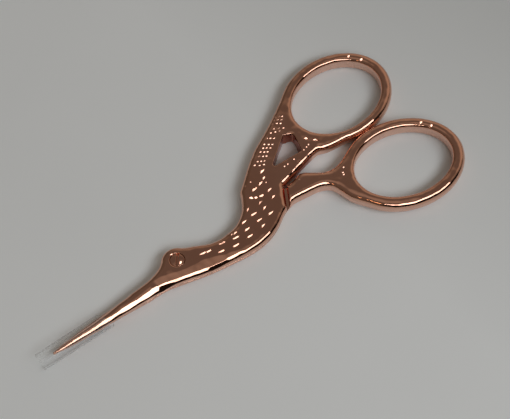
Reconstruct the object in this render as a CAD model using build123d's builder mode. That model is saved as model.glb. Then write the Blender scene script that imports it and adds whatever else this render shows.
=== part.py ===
import os
from math import cos, radians, sin

from build123d import *

os.makedirs("parts", exist_ok=True)

# Main sizes of the closed scissors, in millimetres: the reach of the blades and of the finger
# rings' near ends from the pivot, and the stork's body across its shoulder.
# The pivot axis is Z, the tips point to -X and the scissors lie on the plane Z = 0.
thickness = 3.3
blade_length = 29.9
near_reach = 37.8
body_width = 12.5

# Rounding of the forgings
edge_radius = 1.35
hole_edge_radius = 0.9
window_corner_radius = 0.45
crotch_radius = 0.5
foot_radius = 1.6
shoulder_radius = 1.7
knee_radius = 1.2

# Finger rings: oval rods, measured along the middle of the rod
ring_length = 24.7
ring_width = 19.0
rod_flat = 0.45
ring_gap = 0.15
upper_ring_lean = 6.7
lower_ring_lean = -11.0

# Stork's head, and the root of the blade that grows out of it as the beak
head_land = 0.4
blade_root_reach = 9.0
blade_root_flat = 0.6

# Gaps between the two halves: at the sliding faces, at the step on the upper side,
# and at the step on the under side
layer_gap = 0.04
step_gap = 0.7
under_gap = 0.15

# Pivot screw
screw_head_diameter = 2.9
screw_head_height = 0.7
screw_dome_height = 0.13
screw_seat_depth = 0.85
screw_shoulder_diameter = 2.3
screw_thread_diameter = 1.9
screw_slot_width = 0.5
screw_slot_depth = 0.45
screw_slot_angle = 50
head_clearance = 0.1
bore_clearance = 0.04
thread_clearance = 0.01
head_play = 0.02

# Vinyl sleeve over the tips
sleeve_length = 15.6
sleeve_overhang = 3.0
sleeve_outer_width = 3.6
sleeve_corner_radius = 1.5
sleeve_wall = 0.16

# Cutters run this far past the metal
overrun = 2.0

# Sizes that follow from those above
rod_width = edge_radius + rod_flat + hole_edge_radius
half_spread = (ring_width + rod_width + ring_gap) / 2
head_radius = screw_head_diameter / 2 + head_clearance + head_land + edge_radius
blade_root_width = 2 * edge_radius + blade_root_flat

# Middles of the finger rings: near ends in shares of near_reach, and shares of half the spread
upper_ring_share = (1.010, 0.973)
lower_ring_share = (0.989, -1.027)

# Outlines seen from above, as points in shares of near_reach and of body_width
nape_shares = [
    (0.127, 0.060),
    (0.211, -0.076),
    (0.304, -0.100),
    (0.381, -0.060),
    (0.447, 0.064),
    (0.493, 0.216),
]
shoulder_share = (0.526, 0.384)
tail_shares = [(0.635, 0.628), (0.741, 0.844), (0.886, 1.060)]
thigh_shares = [(0.963, 0.152), (0.879, 0.104)]
crotch_share = (0.738, 0.020)
foot_share = (0.657, -0.352)
breast_shares = [
    (0.574, -0.476),
    (0.478, -0.588),
    (0.371, -0.616),
    (0.251, -0.568),
    (0.112, -0.480),
    (-0.022, -0.364),
]
window_front_share = (0.750, 0.389)
shank_top_shares = [(0.804, 0.004), (0.847, 0.035), (0.924, -0.104)]
shank_under_shares = [
    (0.950, -0.648),
    (0.932, -0.499),
    (0.892, -0.412),
    (0.837, -0.366),
    (0.752, -0.326),
]

# Points near a finger ring, in shares of the ring's half length and half width from its centre
rump_share = (-1.010, 0.720)
calf_shares = [(-0.648, -0.950), (-0.800, -0.900), (-0.965, -0.820)]
knee_share = (-1.092, -0.718)
window_back_shares = [(-1.303, 0.109), (-1.155, -0.024), (-1.310, -0.483)]
saddle_shares = [(-1.188, 0.589), (-1.049, 0.625), (-0.863, 0.742)]
fan_share = (-1.171, -0.240)

# Where the outlines run into the finger rings, in degrees round each oval
rump_angle = 122
calf_angle = -105
saddle_angle = 130
fan_angle = 213

# The upper ring's finger hole is a little larger than its rod leaves, and off towards the leg,
# by these shares of the flat along the rod
hole_growth_share = 0.45
hole_shift_share = 0.5
hole_shift_angle = 230

# Directions of the outline at its joints, in degrees; the crown's are from the pivot to its ends
quarter_turn = 90
half_turn = 180
full_turn = 360
crown_from = 135
crown_to = 45
shoulder_in = 62
shoulder_out = 36
foot_heading = 16
knee_heading = -22
shank_heading = 12

# Line of the closed blades: drift sideways per length, and offset of the tips
blade_slope_share = 0.048
tip_offset_share = 0.036

# Blade stations on the way to the tip, as shares: distance along the blade, half width of the
# closed pair, height of one blade, setback of the cutting edge, spine rounding, grind width
station_shares = [
    (0.53, 0.76, 0.80, 0.20, 0.62, 0.44),
    (0.85, 0.47, 0.56, 0.12, 0.60, 0.44),
    (1.00, 0.17, 0.24, 0.04, 0.55, 0.40),
]
edge_land_share = 0.10

# How far an arc bulges towards its corner: a quarter circle, and the flatter grind of the blades
round_bulge_share = cos(radians(crown_to))
grind_bulge_share = 0.58


def place(share):
    """The point of an outline that a pair of shares stands for."""
    x_share, y_share = share
    return (x_share * near_reach, y_share * body_width)


def places(shares):
    return [place(share) for share in shares]


def ring_middle(share):
    near_share, spread_share = share
    return (near_share * near_reach + (ring_length + rod_width) / 2, spread_share * half_spread)


def beside_ring(centre, lean, shares):
    """Points given in shares of a finger ring's half length and half width, in the ring's own frame."""
    along, across = heading(lean), heading(lean + quarter_turn)
    return [
        moved(moved(centre, along, x_share * ring_length / 2), across, y_share * ring_width / 2)
        for x_share, y_share in shares
    ]


def heading(angle):
    return (cos(radians(angle)), sin(radians(angle)))


def moved(point, direction, distance):
    """The point that lies this far from another along a direction."""
    return (point[0] + direction[0] * distance, point[1] + direction[1] * distance)


# Laps reach this far to either side of the pivot axis
side_reach = ring_width + rod_width

# Heights of the sliding faces, and the middle line of the blades
upper_layer_floor = (thickness + layer_gap) / 2
lower_layer_top = (thickness - layer_gap) / 2
blade_height = thickness - upper_layer_floor
blade_run = blade_length - blade_root_reach
tip_y = -tip_offset_share * body_width
root_y = tip_y - blade_slope_share * blade_run
root_back = (-blade_root_reach, root_y + blade_root_width / 2)
root_front = (-blade_root_reach, root_y - blade_root_width / 2)

# Corners of the outlines
shoulder = place(shoulder_share)
crotch = place(crotch_share)
foot = place(foot_share)
upper_ring = ring_middle(upper_ring_share)
lower_ring = ring_middle(lower_ring_share)
upper_hole = moved(upper_ring, heading(hole_shift_angle), hole_shift_share * rod_flat)
knee = beside_ring(upper_ring, upper_ring_lean, [knee_share])[0]
crown_start = moved((0, 0), heading(crown_from), head_radius)
crown_end = moved((0, 0), heading(crown_to), head_radius)

# The step on the upper side runs from crotch to foot, the one on the under side from shoulder to crotch
step_line = (Vector(*crotch) - Vector(*foot)).normalized()
step_out = (step_line.Y, -step_line.X)
under_line = (Vector(*crotch) - Vector(*shoulder)).normalized()
under_in = (under_line.Y, -under_line.X)
step_tilt = Vector(*step_out).dot(Vector(*under_in))
step_slide = (under_gap - step_gap * step_tilt) / step_line.dot(Vector(*under_in))
lower_crotch = moved(moved(crotch, step_out, step_gap), tuple(step_line), step_slide)
lower_foot = moved(foot, step_out, step_gap)


def back_of_head_and_neck():
    Spline(root_back, crown_start, tangents=(heading(0), heading(crown_from - quarter_turn)))
    ThreePointArc(crown_start, (0, head_radius), crown_end)
    Spline(
        crown_end,
        *places(nape_shares),
        shoulder,
        tangents=(heading(crown_to - quarter_turn), heading(shoulder_in)),
    )


def breast_and_throat():
    Spline(
        foot,
        *places(breast_shares),
        root_front,
        tangents=(heading(half_turn + foot_heading), heading(half_turn)),
    )
    Line(root_front, root_back)


def ring_rim(centre, lean, first_angle, last_angle):
    """The outer side of a finger ring, round its far end from one joint with the outline to the other."""
    return EllipticalCenterArc(
        centre,
        (ring_length + rod_width) / 2,
        (ring_width + rod_width) / 2,
        start_angle=first_angle,
        arc_size=last_angle - first_angle,
        rotation=lean,
    )


def finger_hole(centre, lean, growth):
    with Locations(Location((*centre, 0), (0, 0, lean))):
        Ellipse(
            (ring_length - rod_width) / 2 + growth,
            (ring_width - rod_width) / 2 + growth,
            mode=Mode.SUBTRACT,
        )


def stork():
    """Outline of the upper half: head, neck, body, tail, finger ring and the leg strut."""
    with BuildSketch() as outline:
        with BuildLine():
            back_of_head_and_neck()
            rim = ring_rim(upper_ring, upper_ring_lean, calf_angle, rump_angle)
            Spline(
                shoulder,
                *places(tail_shares),
                *beside_ring(upper_ring, upper_ring_lean, [rump_share]),
                rim @ 1,
                tangents=(heading(shoulder_out), -(rim % 1)),
            )
            Spline(
                knee,
                *reversed(beside_ring(upper_ring, upper_ring_lean, calf_shares)),
                rim @ 0,
                tangents=(heading(knee_heading), rim % 0),
            )
            Spline(knee, *places(thigh_shares), crotch)
            Line(crotch, foot)
            breast_and_throat()
        make_face()
        finger_hole(upper_hole, upper_ring_lean, hole_growth_share * rod_flat)
    return outline.sketch


def lower_plate():
    """Outline of the lower half: the same head, neck and breast, the plain shank and its finger ring."""
    with BuildSketch() as outline:
        with BuildLine():
            back_of_head_and_neck()
            Line(shoulder, place(tail_shares[0]))
            Line(place(tail_shares[0]), lower_crotch)
            rim = ring_rim(lower_ring, lower_ring_lean, fan_angle - full_turn, saddle_angle)
            Spline(
                lower_crotch,
                *places(shank_top_shares),
                *beside_ring(lower_ring, lower_ring_lean, saddle_shares),
                rim @ 1,
                tangents=(heading(shank_heading), -(rim % 1)),
            )
            Spline(
                rim @ 0,
                *beside_ring(lower_ring, lower_ring_lean, [fan_share]),
                *places(shank_under_shares),
                foot,
                tangents=(-(rim % 0), heading(half_turn + foot_heading)),
            )
            breast_and_throat()
        make_face()
        finger_hole(lower_ring, lower_ring_lean, 0)
    return outline.sketch


def blade_sections(side):
    """Sections of one blade, for side 1 above the sliding face and for side -1 below it."""
    sections = []
    root = (0, 1, 1, 0, edge_radius / blade_height, edge_radius / blade_root_width)
    for run, half_width, height, setback, spine, grind in [root, *station_shares]:
        reach = blade_root_reach + run * blade_run
        middle = tip_y - blade_slope_share * (blade_length - reach)
        half = half_width * blade_root_width / 2
        edge_y = half - setback * blade_root_width / 2
        rise = height * blade_height
        spine_radius = spine * rise
        grind_width = grind * (half + edge_y)
        land = rise - edge_radius if run == 0 else edge_land_share * rise
        bulge_share = round_bulge_share if run == 0 else grind_bulge_share
        spine_inset = spine_radius * (1 - round_bulge_share)

        def point(y, z):
            base = thickness / 2 + side * layer_gap / 2
            return (middle + side * y, base + side * z)

        with BuildSketch(Plane.YZ.offset(-reach)) as section:
            with BuildLine():
                Polyline(
                    point(-half, rise - spine_radius),
                    point(-half, 0),
                    point(edge_y, 0),
                    point(edge_y, land),
                )
                ThreePointArc(
                    point(edge_y, land),
                    point(
                        edge_y - grind_width * (1 - bulge_share),
                        land + (rise - land) * bulge_share,
                    ),
                    point(edge_y - grind_width, rise),
                )
                Line(point(edge_y - grind_width, rise), point(-half + spine_radius, rise))
                ThreePointArc(
                    point(-half + spine_radius, rise),
                    point(-half + spine_inset, rise - spine_inset),
                    point(-half, rise - spine_radius),
                )
            make_face()
        sections.append(section.sketch)
    return sections


def upright_edge(builder, point):
    return builder.edges().filter_by(Axis.Z).sort_by_distance((*point, thickness / 2))[0]


def rim_edges(builder, around_hole):
    """Upper and lower edges of a plate: those of its finger hole, or those of its outline."""
    rims = builder.edges().group_by(Axis.Z)[0] + builder.edges().group_by(Axis.Z)[-1]
    # The blade root's flat end stays sharp, for the blade to grow out of it
    rims = [edge for edge in rims if edge.center().X > -blade_root_reach + layer_gap]
    return [edge for edge in rims if edge.is_closed == around_hole]


def round_over(builder):
    """Round both faces of a plate all round, the finger hole's edges less than the outline's."""
    fillet(rim_edges(builder, True), hole_edge_radius)
    fillet(rim_edges(builder, False), edge_radius)


# Upper half: the stork, its beak blade and the upper finger ring
with BuildPart() as front_half:
    add(stork())
    extrude(amount=thickness)
    fillet(upright_edge(front_half, crotch), crotch_radius)
    fillet(upright_edge(front_half, foot), foot_radius)
    fillet(upright_edge(front_half, shoulder), shoulder_radius)
    fillet(upright_edge(front_half, knee), knee_radius)
    round_over(front_half)
    # Window between tail, leg and ring
    with BuildSketch() as window:
        with BuildLine():
            window_back = beside_ring(upper_ring, upper_ring_lean, window_back_shares)
            Polyline(place(window_front_share), *window_back, close=True)
        make_face()
        fillet(window.vertices(), window_corner_radius)
    extrude(amount=thickness, mode=Mode.SUBTRACT)
    # Lap: everything in front of the under step is the upper layer only
    with BuildSketch() as lap:
        with BuildLine():
            past_shoulder = moved(shoulder, tuple(under_line), -overrun)
            past_crotch = moved(crotch, tuple(under_line), overrun)
            Polyline(
                past_shoulder,
                past_crotch,
                (past_crotch[0], -side_reach),
                (-blade_length, -side_reach),
                (-blade_length, side_reach),
                (past_shoulder[0], side_reach),
                close=True,
            )
        make_face()
    extrude(amount=upper_layer_floor, mode=Mode.SUBTRACT)
    loft(blade_sections(1), ruled=True)
    # Seat and running bore of the pivot screw
    with Locations((0, 0, thickness)):
        CounterBoreHole(
            screw_shoulder_diameter / 2 + bore_clearance,
            screw_head_diameter / 2 + head_clearance,
            screw_seat_depth,
            depth=thickness,
        )
front_half.part.label = "front_half"
export_step(front_half.part, "parts/front_half.step")

# Lower half: the other blade, the layer under the stork, the shank and the lower finger ring
with BuildPart() as rear_half:
    add(lower_plate())
    extrude(amount=thickness)
    fillet(upright_edge(rear_half, lower_crotch), crotch_radius)
    round_over(rear_half)
    # Lap: everything in front of the upper step is the lower layer only
    with BuildSketch(Plane.XY.offset(lower_layer_top)) as upper_lap:
        with BuildLine():
            past_crotch = moved(lower_crotch, tuple(step_line), overrun)
            past_foot = moved(lower_foot, tuple(step_line), -overrun)
            Polyline(
                past_crotch,
                past_foot,
                (past_foot[0], -side_reach),
                (-blade_length, -side_reach),
                (-blade_length, side_reach),
                (past_crotch[0], side_reach),
                close=True,
            )
        make_face()
    extrude(amount=thickness, mode=Mode.SUBTRACT)
    # The lower layer ends at the under step
    with BuildSketch() as under_step:
        with BuildLine():
            past_shoulder = moved(moved(shoulder, under_in, under_gap), tuple(under_line), -overrun)
            Polyline(
                past_shoulder,
                lower_crotch,
                (lower_crotch[0], side_reach),
                (past_shoulder[0], side_reach),
                close=True,
            )
        make_face()
    extrude(amount=thickness, mode=Mode.SUBTRACT)
    loft(blade_sections(-1), ruled=True)
    with Locations((0, 0, lower_layer_top)):
        Hole(screw_thread_diameter / 2 + thread_clearance, depth=thickness)
rear_half.part.label = "rear_half"
export_step(rear_half.part, "parts/rear_half.step")

# Pivot screw: slotted domed head as the stork's eye, running shoulder, threaded end
seat_z = thickness - screw_seat_depth + head_play
head_rim_z = seat_z + screw_head_height
screw_head_radius = screw_head_diameter / 2
dome_apex = (0, head_rim_z + screw_dome_height)
dome_radius = (screw_head_radius**2 + screw_dome_height**2) / (2 * screw_dome_height)
with BuildPart() as pivot_screw:
    with BuildSketch(Plane.XZ) as half_profile:
        with BuildLine():
            Polyline(
                dome_apex,
                (0, 0),
                (screw_thread_diameter / 2, 0),
                (screw_thread_diameter / 2, lower_layer_top),
                (screw_shoulder_diameter / 2, lower_layer_top),
                (screw_shoulder_diameter / 2, seat_z),
                (screw_head_radius, seat_z),
                (screw_head_radius, head_rim_z),
            )
            RadiusArc((screw_head_radius, head_rim_z), dome_apex, -dome_radius)
        make_face()
    revolve(axis=Axis.Z)
    with Locations(Location((0, 0, head_rim_z + screw_dome_height), (0, 0, screw_slot_angle))):
        Box(
            screw_head_diameter + overrun,
            screw_slot_width,
            2 * (screw_slot_depth + screw_dome_height),
            mode=Mode.SUBTRACT,
        )
pivot_screw.part.label = "pivot_screw"
export_step(pivot_screw.part, "parts/pivot_screw.step")

# Soft vinyl sleeve: a cut length of oval tube over both blade tips, along the blades' middle line
sleeve_tip = -(blade_length + sleeve_overhang)
sleeve_y = tip_y + blade_slope_share * sleeve_overhang
along_blades = Vector(1, -blade_slope_share, 0).normalized()
tube_end = Plane(origin=(sleeve_tip, sleeve_y, thickness / 2), x_dir=(0, 0, 1), z_dir=along_blades)
with BuildPart() as tip_sleeve:
    with BuildSketch(tube_end):
        RectangleRounded(thickness, sleeve_outer_width, sleeve_corner_radius)
        offset(amount=-sleeve_wall, mode=Mode.SUBTRACT)
    extrude(amount=sleeve_length)
tip_sleeve.part.label = "tip_sleeve"
export_step(tip_sleeve.part, "parts/tip_sleeve.step")
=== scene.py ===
import math

import bmesh
import bpy
import numpy as np
from mathutils import Matrix, Vector
from mathutils.bvhtree import BVHTree
from mathutils.noise import noise as noise_at


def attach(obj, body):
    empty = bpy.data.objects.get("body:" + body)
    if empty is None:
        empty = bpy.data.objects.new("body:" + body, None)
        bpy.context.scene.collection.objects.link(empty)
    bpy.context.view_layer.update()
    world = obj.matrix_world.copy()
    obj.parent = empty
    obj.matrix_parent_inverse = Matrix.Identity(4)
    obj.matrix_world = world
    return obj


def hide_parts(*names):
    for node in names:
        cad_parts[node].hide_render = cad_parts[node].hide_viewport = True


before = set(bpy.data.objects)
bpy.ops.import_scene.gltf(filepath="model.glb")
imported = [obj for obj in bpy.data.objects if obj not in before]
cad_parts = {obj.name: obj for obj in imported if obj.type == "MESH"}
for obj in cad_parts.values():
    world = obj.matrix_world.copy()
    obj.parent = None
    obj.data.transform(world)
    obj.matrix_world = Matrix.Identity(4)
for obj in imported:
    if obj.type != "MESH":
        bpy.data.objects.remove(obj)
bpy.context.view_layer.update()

MM = 0.001
THICKNESS = 3.3 * MM
# Marks are cut only above this height
TOP_FROM = 2.2 * MM
# The seam between the halves stays sharp this far to either side of mid height
SEAM_BAND = 0.4 * MM

# Skin of the forgings: size of its cells, rounds of softening on all edges and on the ring rods,
# and height and size of the waves
SKIN = 0.12 * MM
EDGE_ROUNDS = 3
ROD_ROUNDS = 90
SCREW_SKIN = 0.05 * MM
SCREW_ROUNDS = 2
WAVE_HEIGHT = 0.035 * MM
WAVE_SIZE = 2.8 * MM

# Finger rings: middle in millimetres and lean in degrees, and half the oval of the rod's middle line
UPPER_RING = (51.88, 10.63)
LOWER_RING = (51.08, -11.22)
UPPER_LEAN = 6.7
LOWER_LEAN = -11.0
RING_HALF_LENGTH = 12.35
RING_HALF_WIDTH = 9.5
# The rod lies between these shares of that oval
ROD_FROM = 0.78
ROD_TO = 1.25

# Paler tints on upright walls: a painted reflection of the pale table that these walls face
WALL_REFLECTION_TINTS = ((0.86, 0.56, 0.45), (0.81, 0.51, 0.40))
# Walls round two hollows, tinted with painted shade and painted reflection: middle, radius, tints
HOLLOW_SHADE_AND_REFLECTION = [
    # Tail window: painted shade, a dark red-brown on its walls
    ((33.0, 6.0, 1.65), 5.6, ((0.42, 0.15, 0.10), (0.30, 0.10, 0.07))),
    # Gap at the lap step: a painted red reflection of the facing shank wall
    ((27.3, -1.2, 1.9), 2.0, ((0.95, 0.36, 0.30), (0.85, 0.28, 0.22))),
]

# Camera as fitted to the photograph: lens and place from the pivot in millimetres, and its turn
LENS = 77.647
CAMERA_PLACE = (-57.52, -92.81, 191.05)
CAMERA_RIGHT = (0.76774, -0.64077, 0.0)
CAMERA_BACK = (-0.34471, -0.41301, 0.84297)
# The lamps point at this place, in millimetres from the pivot
LAMP_TARGET = (10, 0, 0)
TABLE_HALF_SIZE = 2.5

WINDOW_AZIMUTH = -81
BRIGHT_AZIMUTH = 0
# Wall colours by the height of the view: at the horizon 0, straight up 1
DARK_WALL = [
    (0.0, (0.012, 0.010, 0.009)),
    (0.50, (0.012, 0.010, 0.009)),
    (0.60, (0.050, 0.045, 0.040)),
    (0.80, (0.130, 0.112, 0.100)),
    (0.92, (0.190, 0.168, 0.150)),
    (1.0, (0.360, 0.325, 0.290)),
]
PLAIN_WALL = [
    (0.0, (0.095, 0.082, 0.068)),
    (0.30, (0.120, 0.104, 0.086)),
    (0.64, (0.130, 0.113, 0.096)),
    (0.77, (0.150, 0.131, 0.118)),
    (0.90, (0.145, 0.127, 0.115)),
    (1.0, (0.360, 0.325, 0.290)),
]
BRIGHT_WALL = [
    (0.0, (0.160, 0.145, 0.130)),
    (0.30, (0.430, 0.370, 0.310)),
    (0.66, (0.430, 0.370, 0.310)),
    (0.78, (0.150, 0.131, 0.118)),
    (0.90, (0.145, 0.127, 0.115)),
    (1.0, (0.360, 0.325, 0.290)),
]


# Camera, floor and light


def photo_camera():
    """Camera at the photograph's viewing angle."""
    data = bpy.data.cameras.new("camera")
    data.lens = LENS
    data.sensor_width = 36
    data.clip_start = 0.01
    data.clip_end = 10
    camera = bpy.data.objects.new("camera", data)
    right = Vector(CAMERA_RIGHT)
    back = Vector(CAMERA_BACK)
    up = back.cross(right)
    turn = Matrix((right, up, back)).transposed().to_4x4()
    camera.matrix_world = Matrix.Translation(Vector(CAMERA_PLACE) * MM) @ turn
    bpy.context.scene.collection.objects.link(camera)
    bpy.context.scene.camera = camera


def direction(azimuth, elevation):
    """Unit vector towards a place in the room: azimuth from +X towards +Y, in degrees."""
    a, e = math.radians(azimuth), math.radians(elevation)
    return Vector((math.cos(a) * math.cos(e), math.sin(a) * math.cos(e), math.sin(e)))


def softbox(name, azimuth, elevation, distance, width, height, radiance, color):
    """Rectangular lamp that faces the object and shows this radiance in reflections."""
    data = bpy.data.lights.new(name, "AREA")
    data.shape = "RECTANGLE"
    data.size = width
    data.size_y = height
    data.energy = radiance * math.pi * width * height
    data.color = color
    lamp = bpy.data.objects.new(name, data)
    towards = direction(azimuth, elevation)
    lamp.location = Vector(LAMP_TARGET) * MM + towards * distance
    lamp.rotation_mode = "QUATERNION"
    lamp.rotation_quaternion = (-towards).to_track_quat("-Z", "Y")
    bpy.context.scene.collection.objects.link(lamp)


def room():
    """Room round the table: dim walls, a brighter one on the right, a dark one under the window."""
    world = bpy.data.worlds.new("room")
    world.use_nodes = True
    tree = world.node_tree
    towards = tree.nodes.new("ShaderNodeTexCoord").outputs["Generated"]
    split = tree.nodes.new("ShaderNodeSeparateXYZ")
    tree.links.new(towards, split.inputs[0])
    height = split.outputs["Z"]
    walls = ramp(tree, height, PLAIN_WALL)
    for azimuth, low, high, stops in (
        (BRIGHT_AZIMUTH, 0.20, 0.70, BRIGHT_WALL),
        (WINDOW_AZIMUTH, 0.30, 0.65, DARK_WALL),
    ):
        facing = tree.nodes.new("ShaderNodeVectorMath")
        facing.operation = "DOT_PRODUCT"
        facing.inputs[1].default_value = direction(azimuth, 0)
        tree.links.new(towards, facing.inputs[0])
        share = spread(tree, facing.outputs["Value"], 0, 1, low, high)
        walls = mixed(tree, share, walls, ramp(tree, height, stops))
    tree.links.new(walls, tree.nodes["Background"].inputs["Color"])
    bpy.context.scene.world = world


def ramp(tree, value, stops):
    """Colour by a value, from stops (position, colour)."""
    node = tree.nodes.new("ShaderNodeValToRGB")
    elements = node.color_ramp.elements
    elements[0].position, elements[1].position = stops[0][0], stops[-1][0]
    for position, _ in stops[1:-1]:
        elements.new(position)
    for element, (_, color) in zip(elements, stops):
        element.color = (*color, 1)
    tree.links.new(value, node.inputs["Fac"])
    return node.outputs["Color"]


def floor():
    """Pale grey table top with faint mottling."""
    bm = bmesh.new()
    bmesh.ops.create_grid(bm, x_segments=8, y_segments=8, size=TABLE_HALF_SIZE)
    mesh = bpy.data.meshes.new("table_top")
    bm.to_mesh(mesh)
    bm.free()
    table = bpy.data.objects.new("table_top", mesh)
    bpy.context.scene.collection.objects.link(table)
    table.location.z = -0.02 * MM
    mesh.materials.append(table_material())


# Materials


def material(name):
    """New material with its node tree, its shader, and object coordinates."""
    made = bpy.data.materials.new(name)
    made.use_nodes = True
    nodes = made.node_tree.nodes
    shader = nodes["Principled BSDF"]
    place = nodes.new("ShaderNodeTexCoord").outputs["Object"]
    return made, shader, place


def noise(tree, place, scale, detail=4.0, roughness=0.5, stretch=None):
    """Noise at a scale per metre, stretched along one axis when asked."""
    if stretch is not None:
        mapping = tree.nodes.new("ShaderNodeMapping")
        mapping.inputs["Scale"].default_value = stretch
        tree.links.new(place, mapping.inputs["Vector"])
        place = mapping.outputs["Vector"]
    node = tree.nodes.new("ShaderNodeTexNoise")
    node.inputs["Scale"].default_value = scale
    node.inputs["Detail"].default_value = detail
    node.inputs["Roughness"].default_value = roughness
    tree.links.new(place, node.inputs["Vector"])
    return node.outputs["Fac"]


def spread(tree, value, low, high, from_low=0.35, from_high=0.65):
    """Value mapped from its usual range to low and high."""
    node = tree.nodes.new("ShaderNodeMapRange")
    node.inputs["From Min"].default_value = from_low
    node.inputs["From Max"].default_value = from_high
    node.inputs["To Min"].default_value = low
    node.inputs["To Max"].default_value = high
    tree.links.new(value, node.inputs["Value"])
    return node.outputs["Result"]


def between(tree, value, first, second):
    """Colour between two by a value."""
    node = tree.nodes.new("ShaderNodeMix")
    node.data_type = "RGBA"
    node.inputs["A"].default_value = (*first, 1)
    node.inputs["B"].default_value = (*second, 1)
    tree.links.new(value, node.inputs["Factor"])
    return node.outputs["Result"]


def mixed(tree, share, first, second):
    """Colour between two others, by a share."""
    node = tree.nodes.new("ShaderNodeMix")
    node.data_type = "RGBA"
    tree.links.new(share, node.inputs["Factor"])
    tree.links.new(first, node.inputs["A"])
    tree.links.new(second, node.inputs["B"])
    return node.outputs["Result"]


def bumps(tree, layers):
    """Stack of bump nodes: (height, distance in metres, strength)."""
    normal = None
    for height, distance, strength in layers:
        node = tree.nodes.new("ShaderNodeBump")
        node.inputs["Distance"].default_value = distance
        node.inputs["Strength"].default_value = strength
        tree.links.new(height, node.inputs["Height"])
        if normal is not None:
            tree.links.new(normal, node.inputs["Normal"])
        normal = node.outputs["Normal"]
    return normal


def table_material():
    """Pale table top, faintly mottled, with painted shade that makes it a little darker towards +X.
    """
    made, shader, place = material("pale_table")
    tree = made.node_tree
    mottle = noise(tree, place, 18, detail=3)
    pale = between(tree, spread(tree, mottle, 0, 1), (0.905, 0.945, 0.945), (0.925, 0.965, 0.965))
    # Painted shade: a darker tint towards +X
    dark = between(tree, spread(tree, mottle, 0, 1), (0.69, 0.720, 0.715), (0.71, 0.740, 0.735))
    split = tree.nodes.new("ShaderNodeSeparateXYZ")
    tree.links.new(place, split.inputs[0])
    share = spread(tree, split.outputs["X"], 0, 1, 0.035, 0.10)
    tree.links.new(mixed(tree, share, pale, dark), shader.inputs["Base Color"])
    shader.inputs["Roughness"].default_value = 0.6
    return made


def plating(name, base, worn, polish):
    """Rose-gold plating: polished above, rougher on upright walls with a paler tint there that is a
    painted reflection of the table, and painted shade and a painted red reflection on the walls round
    two hollows.
    """
    made, shader, place = material(name)
    tree = made.node_tree
    shader.inputs["Metallic"].default_value = 1.0
    split = tree.nodes.new("ShaderNodeSeparateXYZ")
    tree.links.new(tree.nodes.new("ShaderNodeTexCoord").outputs["Normal"], split.inputs[0])
    upright = spread(tree, split.outputs["Z"], 1, 0, 0.15, 0.45)
    drift = spread(tree, noise(tree, place, 140, detail=3), 0, 1)
    color = between(tree, drift, base, worn)
    # Upright walls: painted reflection of the table as a paler tint
    color = mixed(tree, upright, color, between(tree, drift, *WALL_REFLECTION_TINTS))
    # Walls round the hollows: painted shade and painted red reflection
    for centre, radius, tints in HOLLOW_SHADE_AND_REFLECTION:
        inside = in_painted_hollow(tree, place, split.outputs["Z"], centre, radius)
        color = mixed(tree, inside, color, between(tree, drift, *tints))
    tree.links.new(color, shader.inputs["Base Color"])
    smears = noise(tree, place, 260, detail=5, roughness=0.6)
    rough = tree.nodes.new("ShaderNodeMath")
    rough.operation = "MULTIPLY_ADD"
    rough.inputs[1].default_value = 0.2
    tree.links.new(upright, rough.inputs[0])
    tree.links.new(spread(tree, smears, polish, polish + 0.05), rough.inputs[2])
    tree.links.new(rough.outputs["Value"], shader.inputs["Roughness"])
    waves = noise(tree, place, 380, detail=1.0)
    scratches = noise(tree, place, 9000, detail=2, stretch=(0.12, 1.0, 1.0))
    normal = bumps(tree, [(waves, 0.22 * MM, 0.8), (scratches, 0.003 * MM, 0.3)])
    tree.links.new(normal, shader.inputs["Normal"])
    return made


def in_painted_hollow(tree, place, normal_z, centre, radius):
    """1 on the walls round a place, where the painted tint of a hollow goes."""
    near = tree.nodes.new("ShaderNodeVectorMath")
    near.operation = "DISTANCE"
    near.inputs[1].default_value = Vector(centre) * MM
    tree.links.new(place, near.inputs[0])
    both = tree.nodes.new("ShaderNodeMath")
    both.operation = "MULTIPLY"
    fade = spread(tree, near.outputs["Value"], 1, 0, (radius - 0.4) * MM, (radius + 0.4) * MM)
    tree.links.new(fade, both.inputs[0])
    tree.links.new(spread(tree, normal_z, 1, 0, 0.30, 0.65), both.inputs[1])
    return both.outputs["Value"]


def clear_vinyl():
    """Clear soft vinyl: see-through face on, with painted shade that turns it grey where its wall is
    seen at a slant.
    """
    made, shader, place = material("clear_vinyl")
    tree = made.node_tree
    scuffs = noise(tree, place, 1600, detail=3, stretch=(0.15, 1.0, 1.0))
    slant = tree.nodes.new("ShaderNodeLayerWeight").outputs["Facing"]
    pale = between(tree, spread(tree, scuffs, 0, 1), (0.84, 0.86, 0.84), (0.95, 0.96, 0.95))
    # Painted shade: grey where the wall is seen at a slant
    grey = between(tree, spread(tree, scuffs, 0, 1), (0.26, 0.27, 0.26), (0.34, 0.35, 0.34))
    edge = spread(tree, slant, 0, 1, 0.45, 0.90)
    tree.links.new(mixed(tree, edge, pale, grey), shader.inputs["Base Color"])
    haze = noise(tree, place, 900, detail=3)
    tree.links.new(spread(tree, haze, 0.05, 0.14), shader.inputs["Roughness"])
    cover = tree.nodes.new("ShaderNodeMath")
    cover.operation = "ADD"
    cover.use_clamp = True
    tree.links.new(spread(tree, slant, 0.03, 0.45, 0.45, 0.95), cover.inputs[0])
    tree.links.new(spread(tree, scuffs, 0.0, 0.12, 0.56, 0.68), cover.inputs[1])
    tree.links.new(cover.outputs["Value"], shader.inputs["Alpha"])
    ripples = noise(tree, place, 700, detail=2, stretch=(0.3, 1.0, 1.0))
    tree.links.new(bumps(tree, [(ripples, 0.08 * MM, 0.5)]), shader.inputs["Normal"])
    return made


# Forgings


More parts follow.
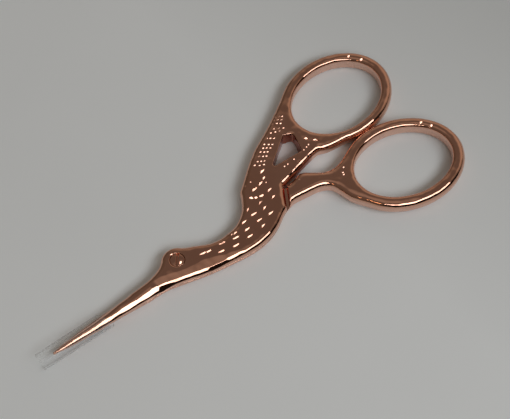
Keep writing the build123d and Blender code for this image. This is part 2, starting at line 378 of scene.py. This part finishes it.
def forged(node, voxel, rounds):
    """Copy of a CAD node as one dense even skin, its edges softened as on a polished forging."""
    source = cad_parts[node]
    mesh = source.data.copy()
    piece = bpy.data.objects.new(node + "_forged", mesh)
    bpy.context.scene.collection.objects.link(piece)
    bm = bmesh.new()
    bm.from_mesh(mesh)
    bmesh.ops.remove_doubles(bm, verts=bm.verts, dist=1e-7)
    bm.to_mesh(mesh)
    surface = BVHTree.FromBMesh(bm)
    bm.free()
    mesh.materials.clear()
    remesh = piece.modifiers.new("skin", "REMESH")
    remesh.mode = "VOXEL"
    remesh.voxel_size = voxel
    piece.data = applied(piece)
    middle = THICKNESS / 2
    soften(piece, lambda co: abs(co.z - middle) > SEAM_BAND, rounds)
    for v in piece.data.vertices:
        if abs(v.co.z - middle) < SEAM_BAND:
            v.co = surface.find_nearest(v.co)[0]
    return piece


def soften(piece, inside, rounds):
    """Smooths the part of a skin whose points pass a test."""
    group = piece.vertex_groups.new(name="soft")
    group.add([v.index for v in piece.data.vertices if inside(v.co)], 1.0, "REPLACE")
    smooth = piece.modifiers.new("soften", "SMOOTH")
    smooth.factor = 0.5
    smooth.iterations = rounds
    smooth.vertex_group = "soft"
    piece.data = applied(piece)
    piece.vertex_groups.clear()


def in_ring_rod(centre, lean):
    """Test for points in a finger ring's rod, away from the middle of its height."""
    turn = math.radians(lean)
    c, s = math.cos(turn), math.sin(turn)

    def test(co):
        x, y = co.x / MM - centre[0], co.y / MM - centre[1]
        along = (x * c + y * s) / RING_HALF_LENGTH
        across = (y * c - x * s) / RING_HALF_WIDTH
        off_seam = abs(co.z - THICKNESS / 2) > SEAM_BAND
        return ROD_FROM < math.hypot(along, across) < ROD_TO and off_seam

    return test


def hammered(piece, height, size):
    """Slight waves in the metal, from the polishing of a hand-finished forging."""
    mesh = piece.data
    normals = [v.normal.copy() for v in mesh.vertices]
    for v, normal in zip(mesh.vertices, normals):
        v.co += normal * noise_at(v.co / size) * height
    mesh.update()


def applied(piece):
    """Mesh of a piece with its modifiers applied, and the modifiers gone."""
    bpy.context.view_layer.update()
    depsgraph = bpy.context.evaluated_depsgraph_get()
    mesh = bpy.data.meshes.new_from_object(piece.evaluated_get(depsgraph))
    piece.modifiers.clear()
    return mesh


def read_points(mesh):
    """Points of a mesh as rows, in millimetres."""
    points = np.empty(len(mesh.vertices) * 3)
    mesh.vertices.foreach_get("co", points)
    return points.reshape(-1, 3) / MM


def write_points(mesh, points):
    """Moves the points of a mesh to these rows, in millimetres."""
    mesh.vertices.foreach_set("co", (points * MM).ravel())
    mesh.update()


def shade_smooth(mesh):
    """Smooth shading on every face."""
    mesh.polygons.foreach_set("use_smooth", [True] * len(mesh.polygons))
    mesh.update()


# Carving, all places in millimetres from the pivot

# Feathers: place and direction of each chisel mark
FEATHERS = [
    (4.8, -2.1, -14), (5.9, -2.45, -10), (9.2, -2.7, -12), (7.9, -4.1, -16), (12.4, -2.5, -5),
    (12.1, -3.5, -10), (11.0, -4.9, -6), (15.7, -1.7, 6), (15.1, -3.4, 4), (14.5, -5.0, -2),
    (18.3, 0.2, 30), (18.4, -1.5, -3), (18.4, -3.3, 1), (18.1, -4.8, 17), (21.3, -0.2, 18),
    (21.1, -1.7, 22), (21.2, -3.5, 5), (24.7, 1.0, 11), (24.2, -0.8, 17),
]
WING_LINES = [
    [(27.1, 5.6), (25.8, 5.3)],
    [(26.1, 4.2), (25.3, 3.8)],
    [(25.0, 3.6), (23.6, 3.2)],
    [(23.1, 3.1), (21.7, 3.0)],
    [(20.1, 2.3), (20.9, 1.5), (21.6, 1.1)],
    [(22.0, 1.0), (22.9, 0.8)],
    [(38.6, 6.4), (39.3, 5.7)],
    [(39.5, 5.3), (40.8, 3.8)],
]
DOTS = [
    (21.5, 4.9), (22.9, 4.9), (25.3, 2.8), (36.7, 4.0), (37.6, 4.2), (38.3, 4.4), (31.7, 3.4),
    (30.8, 3.4), (33.5, 3.5),
]
TAIL_ROWS = [
    [(26.2, 7.6), (27.0, 6.9), (27.8, 6.5)],
    [(27.3, 7.9), (27.9, 7.5), (28.5, 7.1)],
    [(28.4, 8.7), (29.0, 8.2), (29.6, 7.8)],
    [(29.3, 9.4), (29.9, 8.9), (30.5, 8.5)],
    [(30.4, 9.8), (31.0, 9.4), (31.6, 8.9)],
    [(31.2, 10.4), (31.9, 9.8), (32.5, 9.3)],
    [(32.6, 11.2), (33.2, 10.8), (33.8, 10.3)],
    [(34.2, 11.8), (35.1, 11.4), (36.0, 11.0)],
    [(35.4, 12.2), (36.3, 11.6), (37.1, 11.1)],
    [(36.1, 13.4), (36.8, 12.9), (37.4, 12.4)],
    [(37.0, 13.9), (37.6, 13.5), (38.2, 13.0)],
    [(37.8, 14.4), (38.4, 14.0), (38.9, 13.6)],
]
# Small flats on the finger rings that catch the light
UPPER_SPOTS = [(61.2, 16.9), (62.7, 14.4)]
LOWER_SPOTS = [(60.6, -6.6), (61.7, -8.6)]
SHANK_DOTS = [(40.1, -4.6), (39.1, -5.5), (38.9, -6.0), (31.2, -1.0)]

# Every cut slopes down this way, and ends in a steep wall
CUT_AZIMUTH = -97
CUT_SLOPE = math.tan(math.radians(33))
# The skin is refined this far round a mark, a mark's rim is this steep, and its slope starts here
CUT_MARGIN = 0.2
CUT_EDGE = 4
CUT_START_SHARE = 1.05

# Half length and half width of each kind of mark
FEATHER_SIZE = (0.80, 0.20)
LINE_WIDTH = 0.24
DOT_SIZE = (0.20, 0.17)
TAIL_SIZE = (0.27, 0.17)
TAIL_HEADING = -20
SPOT_SIZE = (0.42, 0.28)
SHANK_DOT_SIZE = (0.24, 0.18)
# One dash on the head, and one on the screw beside its slot: place, heading, half length and width
HEAD_DASH = (-0.15, 1.72, -9, 0.34, 0.14)
SCREW_DASH = (0.14, -0.95, 28, 0.40, 0.26)


def carve(piece, marks):
    """Cuts marks into the upper face: each is (x, y, heading, half length, half width), in mm."""
    mesh = piece.data
    bm = bmesh.new()
    bm.from_mesh(mesh)
    near = []
    reach = [(x, y, max(length, width) + CUT_MARGIN) for x, y, _, length, width in marks]
    for face in bm.faces:
        centre = face.calc_center_median() / MM
        if centre.z < TOP_FROM / MM:
            continue
        for x, y, radius in reach:
            if abs(centre.x - x) < radius and abs(centre.y - y) < radius:
                near.append(face)
                break
    edges = list({edge for face in near for edge in face.edges})
    bmesh.ops.subdivide_edges(bm, edges=edges, cuts=1, use_grid_fill=True)
    bm.to_mesh(mesh)
    bm.free()
    points = read_points(mesh)
    down = direction(CUT_AZIMUTH, 0)
    cut = np.zeros(len(points))
    for x, y, heading, length, width in marks:
        a = math.radians(heading)
        dx, dy = points[:, 0] - x, points[:, 1] - y
        along = (dx * math.cos(a) + dy * math.sin(a)) / length
        across = (dy * math.cos(a) - dx * math.sin(a)) / width
        inside = np.clip((1 - along**2 - across**2) * CUT_EDGE, 0, 1)
        run = dx * down.x + dy * down.y
        high = min(length, width) * CUT_START_SHARE
        cut = np.maximum(cut, inside * np.clip(run + high, 0, None) * CUT_SLOPE)
    top = points[:, 2] > TOP_FROM / MM
    points[:, 2] -= np.where(top, cut, 0)
    write_points(mesh, points)


def stroke(points, width):
    """Marks end to end along a polyline, as one groove."""
    marks = []
    for (x0, y0), (x1, y1) in zip(points, points[1:]):
        heading = math.degrees(math.atan2(y1 - y0, x1 - x0))
        length = math.dist((x0, y0), (x1, y1)) / 2 + width / 2
        marks.append(((x0 + x1) / 2, (y0 + y1) / 2, heading, length, width))
    return marks


# Profile along the beak and breast, by station along X: height of the flat, and how far inside
# the outline the slight slope, the wide bevel and the steep edge begin
PROFILE = [
    (-30.0, 2.05, 0.30, 0.30, 0.12),
    (-26.8, 2.56, 0.55, 0.50, 0.22),
    (-23.0, 2.80, 0.75, 0.62, 0.22),
    (-20.1, 2.96, 0.85, 0.75, 0.30),
    (-18.0, 3.05, 0.95, 0.92, 0.26),
    (-16.0, 3.12, 1.05, 0.84, 0.34),
    (-13.5, 3.20, 1.20, 1.05, 0.26),
    (-11.0, 3.25, 1.35, 0.98, 0.36),
    (-9.0, 3.28, 1.50, 1.12, 0.28),
    (-7.6, 3.30, 1.70, 1.25, 0.34),
    (-6.6, 3.30, 2.50, 1.22, 0.36),
    (-6.3, 3.30, 2.60, 1.10, 0.82),
    (-4.5, 3.30, 2.40, 1.00, 0.62),
    (-3.0, 3.30, 2.20, 0.92, 0.42),
    (0.0, 3.30, 2.15, 0.86, 0.38),
    (3.4, 3.30, 2.60, 0.84, 0.36),
    (4.1, 3.30, 2.70, 0.66, 0.66),
    (7.2, 3.30, 2.00, 0.62, 0.62),
    (8.0, 3.30, 1.70, 0.86, 0.40),
    (12.0, 3.30, 1.20, 0.86, 0.40),
    (14.0, 3.30, 0.90, 0.76, 0.34),
    (16.0, 3.30, 0.30, 0.30, 0.20),
]
# The first station lies past the tip, where the solid has no outline: its place along Y
PAST_TIP_SIDE = -0.90
# The grinding stops at this height
GROUND_FROM = 1.75
SLIGHT, BEVEL, STEEP = (math.tan(math.radians(tilt)) for tilt in (8.5, 35, 50))


def lower_outline(stations):
    """Lowest Y of the upper half's solid at each station along X, in millimetres."""
    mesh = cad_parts["front_half"].data
    x, y, _ = read_points(mesh).T
    ends = np.empty(len(mesh.edges) * 2, dtype=np.int32)
    mesh.edges.foreach_get("vertices", ends)
    first, last = ends.reshape(-1, 2).T
    lows = []
    for station in stations:
        crossing = ((x[first] - station) * (x[last] - station) <= 0) & (x[first] != x[last])
        a, b = first[crossing], last[crossing]
        share = (station - x[a]) / (x[b] - x[a])
        lows.append((y[a] + (y[b] - y[a]) * share).min())
    return lows


def grind_breast(piece):
    """Grinds the side of the beak and breast to its profile of three facets."""
    stations, flats, slight, bevel, steep = (np.array(of) for of in zip(*PROFILE))
    sides = np.array([PAST_TIP_SIDE, *lower_outline(stations[1:])])
    mesh = piece.data
    points = read_points(mesh)
    x, y, z = points.T
    flats, sides, slight, bevel, steep = (
        np.interp(x, stations, of) for of in (flats, sides, slight, bevel, steep)
    )
    inside = y - sides
    drop = np.clip(slight - inside, 0, slight - bevel) * SLIGHT
    drop += np.clip(bevel - inside, 0, bevel - steep) * BEVEL
    drop += np.clip(steep - inside, 0, None) * STEEP
    ground = (z > GROUND_FROM) & (x < stations[-1]) & (inside < slight)
    points[:, 2] = np.where(ground, np.maximum(np.minimum(z, flats - drop), GROUND_FROM), z)
    write_points(mesh, points)


def stork():
    """Upper half: the stork with its carved feathers, wing and tail."""
    piece = forged("front_half", SKIN, EDGE_ROUNDS)
    soften(piece, in_ring_rod(UPPER_RING, UPPER_LEAN), ROD_ROUNDS)
    grind_breast(piece)
    hammered(piece, WAVE_HEIGHT, WAVE_SIZE)
    marks = [(x, y, heading, *FEATHER_SIZE) for x, y, heading in FEATHERS]
    for line in WING_LINES:
        marks += stroke(line, LINE_WIDTH)
    marks += [(x, y, 0, *DOT_SIZE) for x, y in DOTS]
    marks += [(x, y, TAIL_HEADING, *TAIL_SIZE) for row in TAIL_ROWS for x, y in row]
    marks += [(x, y, 0, *SPOT_SIZE) for x, y in UPPER_SPOTS]
    marks.append(HEAD_DASH)
    carve(piece, marks)
    shade_smooth(piece.data)
    piece.name = "stork"
    return piece


def shank():
    """Lower half: the plain shank and its finger ring."""
    piece = forged("rear_half", SKIN, EDGE_ROUNDS)
    soften(piece, in_ring_rod(LOWER_RING, LOWER_LEAN), ROD_ROUNDS)
    hammered(piece, WAVE_HEIGHT, WAVE_SIZE)
    marks = [(x, y, 0, *SHANK_DOT_SIZE) for x, y in SHANK_DOTS]
    marks += [(x, y, 0, *SPOT_SIZE) for x, y in LOWER_SPOTS]
    carve(piece, marks)
    shade_smooth(piece.data)
    piece.name = "shank"
    return piece


def eye_screw():
    """Pivot screw, its head the stork's eye."""
    piece = forged("pivot_screw", SCREW_SKIN, SCREW_ROUNDS)
    carve(piece, [SCREW_DASH])
    shade_smooth(piece.data)
    piece.name = "eye_screw"
    return piece


def place_piece(piece, node, body, finish):
    """Gives a piece its material and body, and puts it in the place of a CAD node."""
    piece.data.materials.clear()
    piece.data.materials.append(finish)
    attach(piece, body)
    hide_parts(node)


# Sleeve, in millimetres: middle of its end past the tips, and its drift sideways per length
SLEEVE_START = (-32.86, -0.306, 1.65)
SLEEVE_SLOPE = 0.048
SLEEVE_LENGTH = 15.4
SLEEVE_HALF_WIDTH = 1.78
SLEEVE_HALF_HEIGHT = 1.62
SLEEVE_WALL = 0.16
SLEEVE_SECTIONS = 40
SLEEVE_AROUND = 120
# The mouth is cut at this slant, and the section lies between an oval and a box
MOUTH_SLANT = 0.55
OVAL_POWER = 0.85
END_TAPER = 0.015
# Folds in the upper wall at the end past the tips, by their angle round the tube, and their size
FOLDS = (1.05, 1.35, 1.9, 2.3)
FOLD_WIDTH = 0.07
FOLD_DEPTH = 0.16
FOLD_REACH = 0.16
# The tube is squeezed flatter here, as shares of its height and length
SQUEEZE = 0.10
SQUEEZE_AT = 0.08
SQUEEZE_REACH = 0.09


def sleeve_point(share, turn, wall):
    """Point of the tube at a share of its length and an angle round it, this far inside its skin."""
    along = Vector((1, -SLEEVE_SLOPE, 0)).normalized()
    side = Vector((SLEEVE_SLOPE, 1, 0)).normalized()
    up = Vector((0, 0, 1))
    c, s = math.cos(turn), math.sin(turn)
    fold = sum(math.exp(-(((turn - at) / FOLD_WIDTH) ** 2)) for at in FOLDS)
    fold *= FOLD_DEPTH * math.exp(-((share / FOLD_REACH) ** 2))
    squeeze = 1 - SQUEEZE * math.exp(-(((share - SQUEEZE_AT) / SQUEEZE_REACH) ** 2))
    taper = 1 - END_TAPER * (1 - share)
    y = (SLEEVE_HALF_WIDTH - wall - fold) * taper * math.copysign(abs(c) ** OVAL_POWER, c)
    z = (SLEEVE_HALF_HEIGHT - wall - fold) * taper * squeeze * math.copysign(abs(s) ** OVAL_POWER, s)
    run = share * (SLEEVE_LENGTH - MOUTH_SLANT * (y + SLEEVE_HALF_WIDTH))
    return (Vector(SLEEVE_START) + along * run + side * y + up * z) * MM


def sleeve():
    """Thin vinyl tube over the tips, cut at a slant at its mouth and a little squeezed at its end."""
    sections, around = SLEEVE_SECTIONS, SLEEVE_AROUND
    bm = bmesh.new()
    skins = []
    for wall in (0.0, SLEEVE_WALL):
        rings = []
        for i in range(sections + 1):
            turns = [2 * math.pi * k / around for k in range(around)]
            rings.append([bm.verts.new(sleeve_point(i / sections, turn, wall)) for turn in turns])
        skins.append(rings)
    outer, inner = skins
    for i in range(sections):
        for k in range(around):
            n = (k + 1) % around
            bm.faces.new((outer[i][k], outer[i + 1][k], outer[i + 1][n], outer[i][n]))
            bm.faces.new((inner[i][k], inner[i][n], inner[i + 1][n], inner[i + 1][k]))
    for i in (0, sections):
        for k in range(around):
            n = (k + 1) % around
            quad = (outer[i][k], outer[i][n], inner[i][n], inner[i][k])
            bm.faces.new(quad if i == 0 else quad[::-1])
    bmesh.ops.recalc_face_normals(bm, faces=bm.faces)
    mesh = bpy.data.meshes.new("sleeve")
    bm.to_mesh(mesh)
    bm.free()
    shade_smooth(mesh)
    piece = bpy.data.objects.new("sleeve", mesh)
    bpy.context.scene.collection.objects.link(piece)
    return piece


# The scene
photo_camera()
floor()
room()
# Lamps: azimuth and elevation in degrees, distance, width and height in metres, radiance, tint
softbox("window_light", WINDOW_AZIMUTH, 45, 1.0, 1.22, 0.34, 3.15, (0.97, 1.0, 1.04))
softbox("window_core", WINDOW_AZIMUTH - 3, 44, 0.98, 0.5, 0.17, 0.8, (1.0, 1.0, 1.0))
softbox("small_lamp", -130, 42, 1.0, 0.08, 0.08, 7.0, (1.0, 0.97, 0.92))
softbox("warm_lamp", -152, 41, 1.0, 0.08, 0.07, 5.0, (1.0, 0.62, 0.35))
bpy.context.scene.view_settings.view_transform = "Standard"

rose_gold = plating("rose_gold_plating", (0.75, 0.41, 0.29), (0.70, 0.37, 0.255), 0.04)
place_piece(stork(), "front_half", "front_half", rose_gold)
place_piece(shank(), "rear_half", "rear_half", rose_gold)
screw_finish = plating("screw_plating", (0.73, 0.39, 0.275), (0.67, 0.35, 0.24), 0.06)
place_piece(eye_screw(), "pivot_screw", "rear_half", screw_finish)
place_piece(sleeve(), "tip_sleeve", "tip_sleeve", clear_vinyl())
